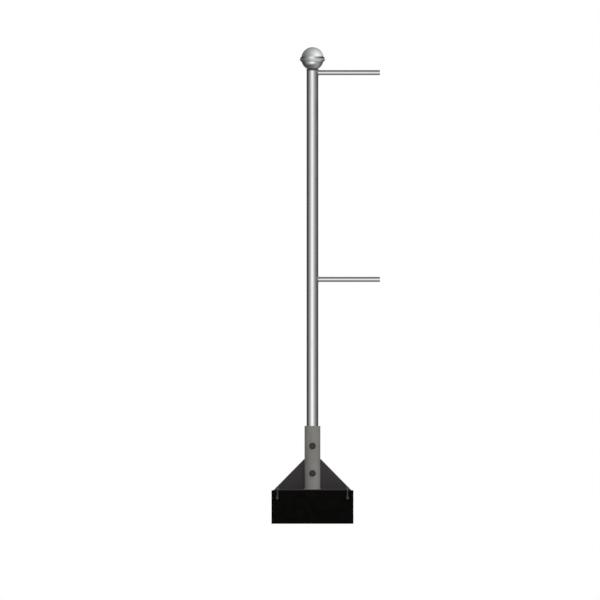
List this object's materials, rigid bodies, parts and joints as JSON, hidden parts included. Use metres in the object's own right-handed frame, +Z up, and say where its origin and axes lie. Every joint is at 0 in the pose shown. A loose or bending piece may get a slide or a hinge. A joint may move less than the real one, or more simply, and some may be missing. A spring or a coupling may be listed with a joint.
{
  "type": "flagpole with banner arms on a footing block",
  "caption": "Tall round metal flagpole with a ringed ball finial and two level banner arms, bolted into a gusseted socket on a square footing block.",
  "frame": {"origin": "centre of the footing block's underside, on the pole's axis", "axes": "+Z up along the pole, +X along the banner arms, -Y the front, where the heads of the socket bolts are"},
  "size_m": [1.468, 1.11, 6.455],
  "materials": {
    "footing_concrete": "near-black coated concrete, dull",
    "base_steel": "charcoal paint, satin",
    "socket_steel": "warm grey, weathered galvanised look, dull",
    "pole_metal": "drawn tube, satin, light grey",
    "ball_metal": "spun and polished, cool light grey",
    "arm_metal": "drawn tube, satin, light grey",
    "bolt_steel": "blackened steel, satin",
    "anchor_steel": "dark grey coated steel, satin"
  },
  "bodies": {
    "root": {"footing_block": "footing_concrete", "base_plate": "base_steel", "socket_tube": "socket_steel", "gusset_right": "base_steel", "gusset_left": "base_steel", "pole_tube": "pole_metal", "finial_neck": "pole_metal", "finial_bowl": "ball_metal", "finial_ring": "ball_metal", "finial_dome": "ball_metal", "upper_arm_tube": "arm_metal", "upper_arm_cap": "arm_metal", "lower_arm_tube": "arm_metal", "lower_arm_cap": "arm_metal", "socket_bolt_upper": "bolt_steel", "socket_nut_upper": "bolt_steel", "socket_washer_upper_front": "bolt_steel", "socket_washer_upper_back": "bolt_steel", "socket_bolt_lower": "bolt_steel", "socket_nut_lower": "bolt_steel", "socket_washer_lower_front": "bolt_steel", "socket_washer_lower_back": "bolt_steel", "anchor_bolt_front_left": "anchor_steel", "anchor_washer_front_left": "anchor_steel", "anchor_nut_front_left": "anchor_steel", "anchor_bolt_front_right": "anchor_steel", "anchor_washer_front_right": "anchor_steel", "anchor_nut_front_right": "anchor_steel", "anchor_bolt_back_left": "anchor_steel", "anchor_washer_back_left": "anchor_steel", "anchor_nut_back_left": "anchor_steel", "anchor_bolt_back_right": "anchor_steel", "anchor_washer_back_right": "anchor_steel", "anchor_nut_back_right": "anchor_steel"}
  },
  "joints": []
}
